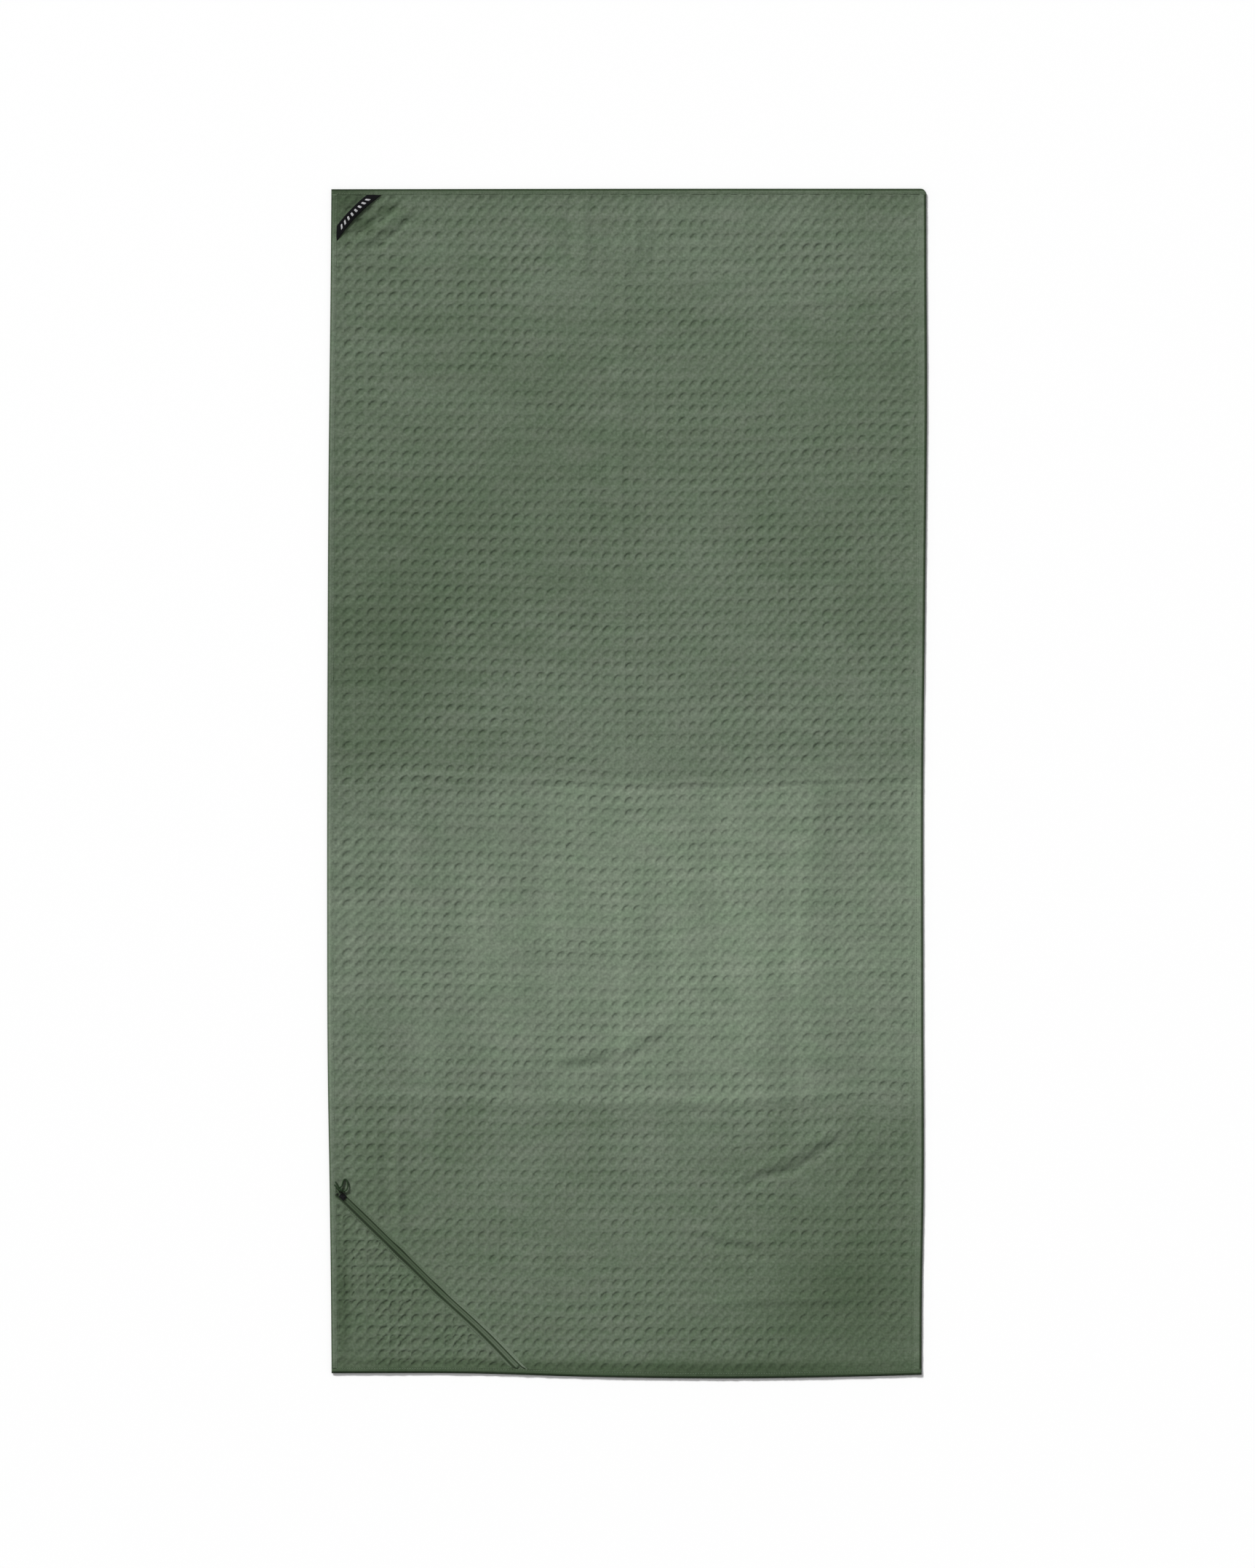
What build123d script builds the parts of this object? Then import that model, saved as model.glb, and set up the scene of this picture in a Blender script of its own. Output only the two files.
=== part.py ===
"""Quick dry towel: waffle cloth with a zipped corner pocket and a hanging loop.

The towel lies flat and face up on Z = 0, in millimetres. The origin is the middle of its
underside, +X runs across it, +Y up its length to the loop's end, and +Z up through the cloth.
"""

from build123d import *
import math
import os

os.makedirs("parts", exist_ok=True)

# Towel
towel_width = 800
towel_length = 1600
cloth = 2.4  # waffle cloth with its pile
pressed = 1.2  # the same cloth under a turned edge
hem_top = 3.2  # top of the turned hem
hem_width = 8  # left, top and bottom hems
hem_width_right = 11
slit = 0.3  # between the two halves, under the fold

# Corner pocket, closed by a zip that runs from the left hem down to the bottom hem
pocket_height = 250  # from the bottom edge to the zip's end in the left hem
pocket_width = 257  # from the left edge to the zip's end in the bottom hem
lining = 0.5
pocket_front_bottom = 0.8
seam_allowance = 10  # lining past the zip, under the main cloth

# Zip, seen from above: a smooth tape in a narrow window, with its coil on the underside
window = 8.4
tape_bottom = 2.4
tape = 0.4
tape_gap = 1.4  # between the two tapes and the two coil halves
coil_width = 1.5
coil_bottom = 1.4
welt_width = 7  # cloth edge turned over the tape
welt_top = 4.0

# Zip stops: a pair behind the slider when it is closed, and one that joins the tapes at the end
stop_length = 2.0
stop_height = 0.8
top_stop_width = 2.6
top_stop_place = 4.4  # from the zip's upper end
top_stop_side = 2.2  # off the zip's middle
bottom_stop_width = 5
bottom_stop_inset = 7  # from the zip's lower end

# Slider
slider_length = 9
slider_width = 6.8
slider_tail_width = 6.2
slider_place = 12.1  # from the zip's upper end
slider_bottom = 0.7
slider_plate = 0.5
slider_top_bottom = 3.0
slider_top = 3.7
flange_width = 0.9
flange_top = 2.1
bridge_length = 4.8
bridge_width = 1.6
bridge_top = 6.3
bridge_hole = (3.4, 1.8)
post_length = 2.2
post_width = 0.8
slider_corner = 1.2
bridge_corner = 0.9
metal_edge = 0.25  # rounding of the stops, the slider and the ring

# Pull: a wire ring through the slider's bridge, and a cord tied to it
ring_outside = 7.0
ring_wire = 0.9
ring_length = 8.6
ring_corner = 2
ring_corner_inside = 1.1
ring_slope = 11  # degrees, up over the turned edge of the cloth
pull_axis_height = 4.6
knot_size = (6.2, 5.0, 3.4)
knot_place = (-1.9, 9.7)  # in the ring's plane, from the pull's axis
knot_corner = 1.4
cord_diameter = 2.0
bend_share = 0.45  # of the shorter run beside a bend, used up by its rounding

# Hanging loop: woven tape across the upper left corner
loop_tape = 12.5
loop_thickness = 1.0
loop_bottom = 2.7
loop_bow = 2.5  # the tape's slack, towards the corner
loop_low_end = 739  # height of the tape's middle where it meets the left hem
loop_far_end = -341  # where it meets the top hem
loop_end_depth = 6.5
loop_end_thickness = 0.8
loop_corner = 120  # a square at the corner that holds all of the loop

# Seams
thread_width = 0.6
thread_height = 0.25
hem_seam_inset = 1.2  # from the hem's inner edge
zip_seam_inset = 2.5  # from the zip window

clearance = 0.3
left = -towel_width / 2
right = towel_width / 2
bottom = -towel_length / 2
top = towel_length / 2
field_left = left + hem_width
field_right = right - hem_width_right
field_bottom = bottom + hem_width
field_top = top - hem_width

# The zip's own plane: X along the zip from its upper end, Y across it into the main cloth
zip_start = (field_left, bottom + pocket_height)
zip_end = (left + pocket_width, field_bottom)
zip_run = (zip_end[0] - zip_start[0], zip_end[1] - zip_start[1])
zip_length = math.hypot(*zip_run)
zip_direction = (zip_run[0] / zip_length, zip_run[1] / zip_length)
zip_plane = Plane(origin=(*zip_start, 0), x_dir=(*zip_direction, 0), z_dir=(0, 0, 1))
far = 2 * towel_length  # longer than anything on the towel


def block(x_low, x_high, y_low, y_high, z_low, z_high, plane=Plane.XY):
    """A flat rectangular piece, given by its edges and its two levels in a plane."""
    with BuildPart() as piece:
        with BuildSketch(plane.offset(z_low)):
            with Locations(((x_low + x_high) / 2, (y_low + y_high) / 2)):
                Rectangle(x_high - x_low, y_high - y_low)
        extrude(amount=z_high - z_low)
    return piece.part


def zip_strip(inner, outer, z_low, z_high):
    """A strip along the zip, from one distance off its middle to another, between the hems."""
    with BuildPart() as strip:
        add(block(-far, far, inner, outer, z_low, z_high, zip_plane))
        add(block(field_left, 0, field_bottom, 0, z_low, z_high), mode=Mode.INTERSECT)
    return strip.part


def save(piece, name):
    """Name a finished piece and write it to its own file."""
    piece.label = name
    export_step(piece, f"parts/{name}.step")


# Main cloth, in two halves that fold on each other. Its border is pressed thin under the hems.
with BuildPart() as cloth_lower:
    add(block(left, right, bottom, -slit / 2, 0, pressed))
    add(block(field_left, field_right, field_bottom, -slit / 2, pressed, cloth))
    add(block(-far, far, -far, window / 2, 0, cloth, zip_plane), mode=Mode.SUBTRACT)
    add(block(-far, far, -far, window / 2 + seam_allowance, 0, lining, zip_plane),
        mode=Mode.SUBTRACT)
save(cloth_lower.part, "cloth_lower")

with BuildPart() as cloth_upper:
    add(block(left, right, slit / 2, top, 0, pressed))
    add(block(field_left, field_right, slit / 2, field_top, pressed, cloth))
save(cloth_upper.part, "cloth_upper")

# Pocket in the lower left corner: a thin lining underneath and a cloth front.
with BuildPart() as pocket_lining:
    add(block(left, 0, bottom, 0, 0, lining))
    add(block(-far, far, window / 2 + seam_allowance, far, 0, lining, zip_plane),
        mode=Mode.SUBTRACT)
save(pocket_lining.part, "pocket_lining")

with BuildPart() as pocket_front:
    add(block(left, 0, bottom, 0, lining, pressed))
    add(block(field_left, 0, field_bottom, 0, lining, pocket_front_bottom), mode=Mode.SUBTRACT)
    add(block(field_left, 0, field_bottom, 0, pocket_front_bottom, cloth))
    add(block(-far, far, -window / 2, far, 0, cloth, zip_plane), mode=Mode.SUBTRACT)
save(pocket_front.part, "pocket_front")

# Zip
coil_inner = tape_gap / 2
coil_outer = coil_inner + coil_width
tape_outer = window / 2 + welt_width
tape_top = tape_bottom + tape
seam_place = window / 2 + zip_seam_inset
for side, sign in (("upper", 1), ("lower", -1)):
    span = sorted((sign * coil_inner, sign * tape_outer))
    save(zip_strip(*span, tape_bottom, tape_top), f"zip_tape_{side}")
    span = sorted((sign * coil_inner, sign * coil_outer))
    save(zip_strip(*span, coil_bottom, tape_bottom), f"zip_coil_{side}")
    span = sorted((sign * window / 2, sign * tape_outer))
    save(zip_strip(*span, tape_top, welt_top), f"zip_welt_{side}")
    span = (sign * seam_place - thread_width / 2, sign * seam_place + thread_width / 2)
    save(zip_strip(*span, welt_top, welt_top + thread_height), f"zip_stitching_{side}")

with BuildPart() as zip_top_stops:
    with BuildSketch(zip_plane.offset(tape_top)):
        with Locations((top_stop_place, top_stop_side), (top_stop_place, -top_stop_side)):
            Rectangle(stop_length, top_stop_width)
    extrude(amount=stop_height)
    fillet(zip_top_stops.edges().group_by(Axis.Z)[-1], metal_edge)
save(zip_top_stops.part, "zip_top_stops")

with BuildPart() as zip_bottom_stop:
    with BuildSketch(zip_plane.offset(tape_top)):
        with Locations((zip_length - bottom_stop_inset, 0)):
            Rectangle(stop_length, bottom_stop_width)
    extrude(amount=stop_height)
    fillet(zip_bottom_stop.edges().group_by(Axis.Z)[-1], metal_edge)
save(zip_bottom_stop.part, "zip_bottom_stop")

# Slider: two plates joined by a post at the nose, side flanges that hold the coil, a bridge
half_length = slider_length / 2
nose_half = slider_width / 2
tail_half = slider_tail_width / 2
slider_start = slider_place - half_length
with BuildSketch() as slider_outline:
    with BuildLine():
        Polyline(
            (slider_place - half_length, nose_half),
            (slider_place + half_length, tail_half),
            (slider_place + half_length, -tail_half),
            (slider_place - half_length, -nose_half),
            close=True,
        )
    make_face()
    fillet(slider_outline.vertices(), slider_corner)

bridge_plane = Plane(
    origin=zip_plane.from_local_coords((slider_place, bridge_width / 2, 0)),
    x_dir=zip_plane.x_dir,
    z_dir=-zip_plane.y_dir,
)
floor_of_slider = slider_bottom + slider_plate
with BuildPart() as zip_slider:
    with BuildSketch(zip_plane.offset(slider_bottom)):
        add(slider_outline.sketch)
    extrude(amount=slider_plate)
    with BuildSketch(zip_plane.offset(floor_of_slider)):
        add(slider_outline.sketch)
        with Locations((slider_place, 0)):
            Rectangle(slider_length, slider_width - 2 * flange_width, mode=Mode.SUBTRACT)
    extrude(amount=flange_top - floor_of_slider)
    with BuildSketch(zip_plane.offset(slider_top_bottom)):
        add(slider_outline.sketch)
    extrude(amount=slider_top - slider_top_bottom)
    fillet(zip_slider.edges().group_by(Axis.Z)[-1], metal_edge)
    with BuildSketch(zip_plane.offset(floor_of_slider)):
        with Locations((slider_start + post_length, 0)):
            Rectangle(post_length, post_width)
    extrude(amount=slider_top_bottom - floor_of_slider)
    with BuildSketch(bridge_plane) as bridge_outline:
        with Locations((0, (slider_top + bridge_top) / 2)):
            Rectangle(bridge_length, bridge_top - slider_top)
        fillet(bridge_outline.vertices().group_by(Axis.Y)[-1], bridge_corner)
        with Locations((0, slider_top + bridge_hole[1] / 2)):
            Rectangle(*bridge_hole, mode=Mode.SUBTRACT)
    extrude(amount=bridge_width)
save(zip_slider.part, "zip_slider")

# Pull ring: a wire link through the bridge. It lies up the towel, over the edge of the cloth.
slope = math.radians(ring_slope)
pull_axis = zip_plane.from_local_coords((slider_place, 0, pull_axis_height))
ring_plane = Plane(origin=pull_axis, x_dir=(1, 0, 0), z_dir=(0, -math.sin(slope), math.cos(slope)))
ring_middle = (ring_length - ring_wire) / 2
with BuildPart() as pull_ring:
    with BuildSketch(ring_plane):
        with Locations((0, ring_middle)):
            RectangleRounded(ring_outside, ring_length, ring_corner)
            RectangleRounded(
                ring_outside - 2 * ring_wire,
                ring_length - 2 * ring_wire,
                ring_corner_inside,
                mode=Mode.SUBTRACT,
            )
    extrude(amount=ring_wire / 2, both=True)
    levels = pull_ring.faces().filter_by(ring_plane)
    fillet(levels.edges(), metal_edge)
save(pull_ring.part, "pull_ring")

# Pull cord: one length of cord, tied round the ring. Both tails lie over the left hem, and the
# doubled middle lies on the main cloth, above the zip.
cord_route = [
    (-394.4, -541.8, 5.2),
    (-390.2, -547.4, 5.9),
    (-384.9, -550.4, 6.4),
    (-379.3, -550.6, 6.0),
    (-376.2, -545.8, 5.4),
    (-376.6, -538.6, 4.3),
    (-378.8, -534.6, 3.9),
    (-381.9, -534.9, 3.9),
    (-383.4, -539.4, 4.9),
    (-384.2, -544.0, 5.8),
    (-388.0, -546.2, 6.1),
    (-391.3, -541.8, 5.9),
    (-392.9, -537.6, 5.6),
]


def bend_radii(route):
    """The largest radius that each corner of a route leaves room for."""
    radii = []
    for before, corner, after in zip(route, route[1:], route[2:]):
        run_in = Vector(*corner) - Vector(*before)
        run_out = Vector(*after) - Vector(*corner)
        half_turn = math.radians(run_in.get_angle(run_out)) / 2
        radii.append(bend_share * min(run_in.length, run_out.length) / math.tan(half_turn))
    return radii


cord_radii = bend_radii(cord_route)
print("pull cord bend radii:", [round(radius, 1) for radius in cord_radii])
with BuildPart() as pull_cord:
    with BuildLine() as cord_path:
        FilletPolyline(*cord_route, radius=cord_radii)
    with BuildSketch(Plane(origin=cord_path.wire() @ 0, z_dir=cord_path.wire() % 0)):
        Circle(cord_diameter / 2)
    sweep()
cord_length = cord_path.wire().length
cord_section = math.pi * cord_diameter**2 / 4
fullness = pull_cord.part.volume / (cord_section * cord_length)
print("pull cord length:", round(cord_length, 1))
print("pull cord volume over section times length:", fullness)
save(pull_cord.part, "pull_cord")

with BuildPart(ring_plane) as pull_knot:
    with Locations(knot_place):
        Box(*knot_size)
    fillet(pull_knot.edges(), knot_corner)
save(pull_knot.part, "pull_knot")

# Hanging loop: a tape bowed towards the corner, its two ends sewn in under the hems.
loop_start = Vector(field_left, loop_low_end)
loop_finish = Vector(loop_far_end, field_top)
chord = loop_finish - loop_start
chord_direction = chord.normalized()
towards_corner = Vector(-chord_direction.Y, chord_direction.X)
loop_radius = chord.length**2 / (8 * loop_bow) + loop_bow / 2
loop_centre = (loop_start + loop_finish) / 2 - towards_corner * (loop_radius - loop_bow)
with BuildPart() as hang_loop:
    with BuildSketch(Plane.XY.offset(loop_bottom)):
        with Locations(loop_centre):
            Circle(loop_radius + loop_tape / 2)
            Circle(loop_radius - loop_tape / 2, mode=Mode.SUBTRACT)
        with Locations((field_left + clearance, field_top - clearance)):
            Rectangle(loop_corner, loop_corner, align=(Align.MIN, Align.MAX), mode=Mode.INTERSECT)
    extrude(amount=loop_thickness)
save(hang_loop.part, "hang_loop")

# The tape's inner edge meets the hems at these two points, and it swings up about the line
# between them.
inner_radius = loop_radius - loop_tape / 2
reach_left = field_left + clearance - loop_centre.X
reach_top = field_top - clearance - loop_centre.Y
loop_hinge_start = loop_centre + Vector(reach_left, math.sqrt(inner_radius**2 - reach_left**2))
loop_hinge_finish = loop_centre + Vector(-math.sqrt(inner_radius**2 - reach_top**2), reach_top)

loop_end_span = loop_tape * math.sqrt(2)
with BuildPart() as hang_loop_ends:
    with BuildSketch(Plane.XY.offset(pressed)):
        with Locations((field_left - loop_end_depth / 2, loop_low_end)):
            Rectangle(loop_end_depth, loop_end_span)
        with Locations((loop_far_end, field_top + loop_end_depth / 2)):
            Rectangle(loop_end_span, loop_end_depth)
    extrude(amount=loop_end_thickness)
save(hang_loop_ends.part, "hang_loop_ends")

# Hems: the border of the cloth turned to the front and sewn down.
hems = {
    "hem_bottom": (left, right, bottom, field_bottom),
    "hem_top": (left, right, field_top, top),
    "hem_left_lower": (left, field_left, field_bottom, -slit / 2),
    "hem_left_upper": (left, field_left, slit / 2, field_top),
    "hem_right_lower": (field_right, right, field_bottom, -slit / 2),
    "hem_right_upper": (field_right, right, slit / 2, field_top),
}
for name, edges in hems.items():
    with BuildPart() as hem:
        add(block(*edges, pressed, hem_top))
        add(hang_loop_ends.part, mode=Mode.SUBTRACT)
    save(hem.part, name)

seam_left = field_left - hem_seam_inset
seam_right = field_right + hem_seam_inset
seam_bottom = field_bottom - hem_seam_inset
seam_top = field_top + hem_seam_inset
half_thread = thread_width / 2
thread_levels = (hem_top, hem_top + thread_height)
hem_seams = {
    "hem_stitching_lower": (seam_bottom, seam_bottom - half_thread, -slit / 2),
    "hem_stitching_upper": (seam_top, slit / 2, seam_top + half_thread),
}
for name, (cross_seam, y_low, y_high) in hem_seams.items():
    with BuildPart() as seam:
        for x in (seam_left, seam_right):
            add(block(x - half_thread, x + half_thread, y_low, y_high, *thread_levels))
        add(block(seam_left, seam_right, cross_seam - half_thread, cross_seam + half_thread,
                  *thread_levels))
    save(seam.part, name)

print("zip length:", round(zip_length, 2), "direction:", zip_direction)
print("pull axis:", pull_axis)
print("loop hinge from:", loop_hinge_start, "to:", loop_hinge_finish)
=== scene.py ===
"""The looks of a quick dry waffle towel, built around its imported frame.

Shapes are worked out in millimetres in the towel's own frame: face up, X across, Y up its length
to the hanging loop, Z up through the cloth. Each mesh is then written in metres.
"""

import math

import bmesh
import bpy
import numpy as np
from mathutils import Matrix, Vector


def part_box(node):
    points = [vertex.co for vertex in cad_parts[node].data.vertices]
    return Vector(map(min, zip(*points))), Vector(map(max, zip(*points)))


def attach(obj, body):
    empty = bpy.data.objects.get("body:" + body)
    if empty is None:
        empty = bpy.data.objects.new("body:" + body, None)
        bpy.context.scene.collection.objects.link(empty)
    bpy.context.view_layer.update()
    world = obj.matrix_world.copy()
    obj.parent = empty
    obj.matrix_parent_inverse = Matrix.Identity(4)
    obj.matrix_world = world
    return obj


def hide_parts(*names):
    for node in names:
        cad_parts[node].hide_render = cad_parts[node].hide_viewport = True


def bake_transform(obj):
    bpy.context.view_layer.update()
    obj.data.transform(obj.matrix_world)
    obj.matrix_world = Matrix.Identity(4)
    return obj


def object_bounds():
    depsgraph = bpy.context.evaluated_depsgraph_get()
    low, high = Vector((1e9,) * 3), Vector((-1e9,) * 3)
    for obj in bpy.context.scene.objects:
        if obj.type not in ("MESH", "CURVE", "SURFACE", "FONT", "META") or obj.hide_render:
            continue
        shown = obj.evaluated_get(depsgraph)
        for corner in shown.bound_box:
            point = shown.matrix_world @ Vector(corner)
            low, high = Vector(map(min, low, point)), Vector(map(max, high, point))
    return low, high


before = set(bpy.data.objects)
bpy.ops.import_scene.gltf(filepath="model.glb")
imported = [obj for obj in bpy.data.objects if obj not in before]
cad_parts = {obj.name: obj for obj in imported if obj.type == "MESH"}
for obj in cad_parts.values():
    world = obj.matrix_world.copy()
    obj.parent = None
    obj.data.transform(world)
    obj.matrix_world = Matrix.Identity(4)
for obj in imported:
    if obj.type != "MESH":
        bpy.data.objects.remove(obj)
cad_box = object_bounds()

MM = 0.001


def box_mm(node):
    """The lowest and highest corner of a CAD node, in millimetres."""
    low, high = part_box(node)
    return np.round(np.array(low) / MM, 3), np.round(np.array(high) / MM, 3)


# The towel and its field, the cloth inside the hems
left, bottom = np.round(np.array(cad_box[0])[:2] / MM, 3)
right, top = np.round(np.array(cad_box[1])[:2] / MM, 3)
field_left = box_mm("hem_left_upper")[1][0]
field_right = box_mm("hem_right_upper")[0][0]
field_bottom = box_mm("hem_bottom")[1][1]
field_top = box_mm("hem_top")[0][1]
cloth = box_mm("cloth_upper")[1][2]
pressed = 1.15  # cloth under a hem
highest = 4.3  # the face goes no higher, so that the halves fold together

# Waffle weave
cell_x = 15.0
cell_y = 16.4
dimple_depth = 0.94
reverse_depth = 0.6
scoop_lean = math.radians(30)
scoop_long = 0.44  # half of a scoop's length and width, as shares of a cell
scoop_short = 0.32
weave_seed = 11

# Zip: its line runs from the left hem down to the bottom hem
pocket_height = 250
pocket_width = 257
zip_start = np.array((field_left, bottom + pocket_height))
zip_end = np.array((left + pocket_width, field_bottom))
zip_length = math.dist(zip_start, zip_end)
zip_along = (zip_end - zip_start) / zip_length
zip_across = np.array((-zip_along[1], zip_along[0]))  # into the main cloth
zip_waver = 1.5
cut_gap = 7.0  # the cloths stop here, under the zip's rolled edges
pocket_reverse = 0.62  # the cloths' underside above the lining

# Hanging loop
loop_width = 12.5
loop_bow = 2.5
loop_low_end = np.array((field_left, 739))
loop_high_end = np.array((-341, field_top))


# ---------------------------------------------------------------- camera, floor and light
PHOTO_HEIGHT = 2.113  # metres of floor that the picture shows from top to bottom
PHOTO_MIDDLE = -0.0025  # the picture's middle, up the towel from its own middle
LENS = 85
SENSOR = 36


def make_camera():
    """A long lens straight above the towel."""
    camera = bpy.data.cameras.new("camera")
    camera.lens = LENS
    camera.sensor_width = SENSOR
    camera.sensor_fit = "VERTICAL"
    camera.sensor_height = SENSOR
    holder = bpy.data.objects.new("camera", camera)
    bpy.context.scene.collection.objects.link(holder)
    distance = PHOTO_HEIGHT / SENSOR * LENS
    holder.location = (0, PHOTO_MIDDLE, distance)
    camera.clip_end = 50
    bpy.context.scene.camera = holder


def key_light(turn, rise, strength, spread):
    """A soft light far away: turn degrees left of the towel's top, rise degrees above the floor."""
    light = bpy.data.lights.new("key", "SUN")
    light.energy = strength
    light.angle = math.radians(spread)
    holder = bpy.data.objects.new("key", light)
    bpy.context.scene.collection.objects.link(holder)
    holder.rotation_euler = (math.radians(rise - 90), 0, math.radians(turn))


def make_studio():
    """A pale floor, a pale surround and a soft key light from the upper left."""
    bpy.context.scene.view_settings.view_transform = "Standard"
    mesh = bpy.data.meshes.new("floor")
    reach = 45  # far enough for a low view to show no edge
    gap = 0.0004  # keeps the floor clear of the towel's underside
    mesh.from_pydata(
        [(-reach, -reach, 0), (reach, -reach, 0), (reach, reach, 0), (-reach, reach, 0)],
        [],
        [(0, 1, 2, 3)],
    )
    floor = bpy.data.objects.new("floor", mesh)
    floor.location = (0, 0, -gap)
    bpy.context.scene.collection.objects.link(floor)
    paint = bpy.data.materials.new("floor")
    paint.use_nodes = True
    shader = paint.node_tree.nodes["Principled BSDF"]
    shader.inputs["Base Color"].default_value = (0.93, 0.93, 0.93, 1)
    shader.inputs["Roughness"].default_value = 0.9
    mesh.materials.append(paint)
    world = bpy.data.worlds.new("surround")
    world.use_nodes = True
    surround = world.node_tree.nodes["Background"]
    surround.inputs["Color"].default_value = (1.0, 1.0, 1.0, 1)
    surround.inputs["Strength"].default_value = 0.40
    bpy.context.scene.world = world
    key_light(turn=33, rise=30, strength=4.2, spread=11)


make_camera()
make_studio()


# ---------------------------------------------------------------- helpers for shapes
def smooth_step(start, end, value):
    """0 at start and before, 1 at end and after, smooth between."""
    t = np.clip((value - start) / (end - start), 0, 1)
    return t * t * (3 - 2 * t)


def smooth_line(points, at):
    """A smooth curve through a few (place, value) points."""
    places, values = np.array(points, float).T
    slopes = np.gradient(values, places)
    at = np.clip(at, places[0], places[-1])
    i = np.clip(np.searchsorted(places, at) - 1, 0, len(places) - 2)
    gap = places[i + 1] - places[i]
    t = (at - places[i]) / gap
    start = values[i] * (1 + 2 * t) + slopes[i] * gap * t
    end = values[i + 1] * (3 - 2 * t) + slopes[i + 1] * gap * (t - 1)
    return start * (1 - t) ** 2 + end * t * t


def soft_noise(x, y, size, seed):
    """Smooth seeded noise from -1 to 1, with lumps about one size across."""
    count = 97  # the noise repeats after this many lumps
    lattice = np.random.default_rng(seed).uniform(-1, 1, (count, count))
    column, row = np.asarray(x) / size, np.asarray(y) / size
    i, j = np.floor(column).astype(int), np.floor(row).astype(int)
    u, v = smooth_step(0, 1, column - i), smooth_step(0, 1, row - j)
    i, next_i = i % count, (i + 1) % count
    j, next_j = j % count, (j + 1) % count
    low = lattice[j, i] * (1 - u) + lattice[j, next_i] * u
    high = lattice[next_j, i] * (1 - u) + lattice[next_j, next_i] * u
    return low * (1 - v) + high * v


def noise_along(along, size, seed):
    """Smooth seeded noise from -1 to 1 along a line."""
    return soft_noise(along, 0 * along, size, seed)


def blob(x, y, middle_x, middle_y, reach_x, reach_y):
    """1 at a middle, falling to nothing a few reaches away."""
    return np.exp(-(((x - middle_x) / reach_x) ** 2 + ((y - middle_y) / reach_y) ** 2))


def ridge(off, half_width):
    """1 on a line, falling to nothing a few half widths off it."""
    return np.exp(-((off / half_width) ** 2))


def line_place(off_x, off_y, line):
    """Where a point lies beside a line, from its offset to the line's start.

    It gives the share of the line's length, and the distance across it.
    """
    length = math.hypot(*line)
    run = line / length
    along = (off_x * run[0] + off_y * run[1]) / length
    across = off_y * run[0] - off_x * run[1]
    return along, across


def zip_place(x, y):
    """How far along the zip a point is, and how far across it into the main cloth."""
    offset_x, offset_y = x - zip_start[0], y - zip_start[1]
    along = offset_x * zip_along[0] + offset_y * zip_along[1]
    across = offset_x * zip_across[0] + offset_y * zip_across[1]
    return along, across


def at_zip(along, across):
    """The point at a distance along the zip and across it. The zip wavers near its lower end."""
    share = along / zip_length
    loose = smooth_step(0.35, 0.75, share) * smooth_step(1.02, 0.9, share)
    across = across + zip_waver * loose * np.sin(along / 38 + 0.6)
    x = zip_start[0] + along * zip_along[0] + across * zip_across[0]
    y = zip_start[1] + along * zip_along[1] + across * zip_across[1]
    return x, y


# How far each edge of the lying towel stands outside a straight line, at places along it
left_bow = ((-800, -1.5), (-690, -0.6), (-560, 1), (-400, 3.6), (-150, 4.6), (130, 4.1),
            (400, 2.8), (660, 0), (800, -1.2))
right_bow = ((-800, -3.8), (-690, -3.4), (-560, -1.2), (-300, -1.6), (15, -1.6), (250, 1),
             (540, 3.4), (700, 2.6), (800, 2.4))
bottom_bow = ((-400, -3.6), (-220, -3.4), (-22, 2), (150, 3.5), (330, 0.4), (400, -1.5))
top_bow = ((-400, -1.2), (0, -0.5), (400, -0.4))
bow_reach = 45  # the bow dies out this far inside the edge
corner_pull = 2.75  # the upper right corner is drawn in
corner_reach = 8
row_sag = 5.5  # the weave's rows hang this low in the towel's middle


def drift(x, y):
    """How far the weave's lines wander inside the field. They keep still along the zip."""
    across = zip_place(x, y)[1]
    edge = np.minimum(np.minimum(x - left, right - x), np.minimum(y - bottom, top - y))
    free = smooth_step(10, 90, edge) * smooth_step(15, 110, np.abs(across))
    middle = smooth_step(left + 40, left + 420, x) * smooth_step(right - 40, right - 320, x)
    wander_x = 3.0 * soft_noise(x, y, 130, 31) + 1.1 * soft_noise(x, y, 60, 33)
    wander_y = 3.4 * soft_noise(x, y, 150, 32) + 1.3 * soft_noise(x, y, 55, 34)
    return free * wander_x, free * (wander_y - row_sag * middle)


def settle(x, y):
    """Where a point of the straight towel lies once its edges bow. The cloth by the zip stays."""
    beside_zip = smooth_step(28, 12, np.abs(zip_place(x, y)[1]))
    left_free = 1 - beside_zip * smooth_step(0, 6, x - field_left)
    bottom_free = 1 - beside_zip * smooth_step(0, 6, y - field_bottom)
    moved_x = x - smooth_line(left_bow, y) * smooth_step(bow_reach, 0, x - left) * left_free
    moved_x = moved_x + smooth_line(right_bow, y) * smooth_step(bow_reach, 0, right - x)
    moved_y = y - smooth_line(bottom_bow, x) * smooth_step(bow_reach, 0, y - bottom) * bottom_free
    moved_y = moved_y + smooth_line(top_bow, x) * smooth_step(bow_reach, 0, top - y)
    pull = corner_pull * np.clip(1 - (right - x + top - y) / corner_reach, 0, 1) ** 2
    drift_x, drift_y = drift(x, y)
    return moved_x - pull + drift_x, moved_y - pull + drift_y


# ---------------------------------------------------------------- helpers for meshes
def new_object(name, mesh):
    """Put a mesh into the scene as a piece."""
    piece = bpy.data.objects.new(name, mesh)
    bpy.context.scene.collection.objects.link(piece)
    return piece


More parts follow.
